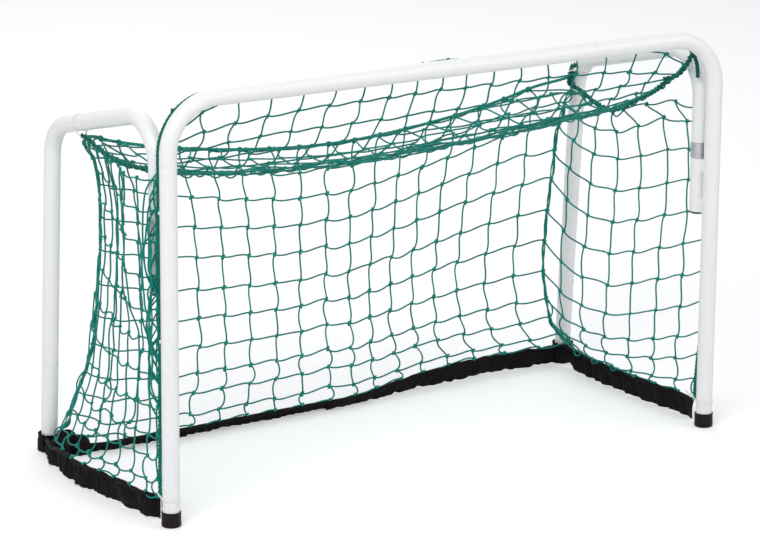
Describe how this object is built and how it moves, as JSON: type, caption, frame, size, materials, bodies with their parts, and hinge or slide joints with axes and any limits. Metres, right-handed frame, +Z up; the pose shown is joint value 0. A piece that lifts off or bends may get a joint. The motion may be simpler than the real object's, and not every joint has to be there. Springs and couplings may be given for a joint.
{
  "type": "folding street hockey goal",
  "caption": "Small free-standing hockey goal: bent steel tube frame with two side wings that fold in, knotted cord net hung on ropes, fabric skirt along the floor.",
  "frame": {"origin": "on the floor, at the centre of the goal's outline seen from above, skirts included", "axes": "+X along the crossbar, +Y from the mouth to the back, +Z up"},
  "size_m": [0.9788, 0.4254, 0.625],
  "materials": {
    "white_paint": "gloss",
    "black_plastic": "satin",
    "zinc": "satin",
    "green_twine": "matte",
    "green_rope": "matte",
    "black_fabric": "satin",
    "white_nylon": "satin"
  },
  "bodies": {
    "front": {"front_frame": "white_paint", "foot_cap_front_left": "black_plastic", "foot_cap_front_right": "black_plastic", "hinge_sleeve_left": "white_paint", "hinge_sleeve_right": "white_paint", "sleeve_plug_left": "black_plastic", "sleeve_plug_right": "black_plastic", "edge_cord": "green_rope", "cord_clip_bar_1": "white_paint", "cord_clip_bar_2": "white_paint", "cord_clip_bar_3": "white_paint", "cord_clip_bar_4": "white_paint", "cord_clip_bar_5": "white_paint", "cord_clip_left_1": "white_paint", "cord_clip_left_2": "white_paint", "cord_clip_right_1": "white_paint", "cord_clip_right_2": "white_paint", "foot_tie_left": "white_nylon", "foot_tie_right": "white_nylon", "roof_net": "green_twine", "side_rope_left": "green_rope", "side_rope_right": "green_rope"},
    "wing_left": {"wing_left": "white_paint", "foot_cap_rear_left": "black_plastic", "hinge_pin_left": "zinc", "corner_tie_left": "white_nylon", "side_net_left": "green_twine", "side_skirt_left": "black_fabric", "skirt_pocket_left": "black_fabric"},
    "wing_right": {"wing_right": "white_paint", "foot_cap_rear_right": "black_plastic", "hinge_pin_right": "zinc", "corner_tie_right": "white_nylon", "side_net_right": "green_twine", "side_skirt_right": "black_fabric", "skirt_pocket_right": "black_fabric"},
    "back_left": {"back_net_left": "green_twine", "back_skirt_left": "black_fabric", "rear_rope_left": "green_rope"},
    "back_right": {"back_net_right": "green_twine", "back_skirt_right": "black_fabric", "rear_rope_right": "green_rope"}
  },
  "joints": [
    {"name": "wing_left_fold", "type": "hinge", "parent": "front", "child": "wing_left", "pos_m": [-0.45262, -0.16535, 0.42], "axis": [0, 0, -1], "range_deg": [0, 90], "deforming": ["roof_net", "side_rope_left", "side_rope_right"]},
    {"name": "wing_right_fold", "type": "hinge", "parent": "front", "child": "wing_right", "pos_m": [0.47238, -0.16535, 0.42], "axis": [0, 0, 1], "range_deg": [0, 90]},
    {"name": "back_left_carry", "type": "hinge", "parent": "wing_left", "child": "back_left", "pos_m": [-0.45262, 0.16365, 0.5], "axis": [0, 0, 1], "range_deg": [0, 90], "deforming": ["back_net_left", "back_skirt_left", "rear_rope_left"]},
    {"name": "back_right_carry", "type": "hinge", "parent": "wing_right", "child": "back_right", "pos_m": [0.47238, 0.16365, 0.5], "axis": [0, 0, -1], "range_deg": [0, 90], "deforming": ["back_net_right", "back_skirt_right", "rear_rope_right"]}
  ],
  "couplings": [
    {"joint": "wing_right_fold", "follows": "wing_left_fold", "ratio": 1},
    {"joint": "back_left_carry", "follows": "wing_left_fold", "ratio": 1},
    {"joint": "back_right_carry", "follows": "wing_left_fold", "ratio": 1}
  ]
}
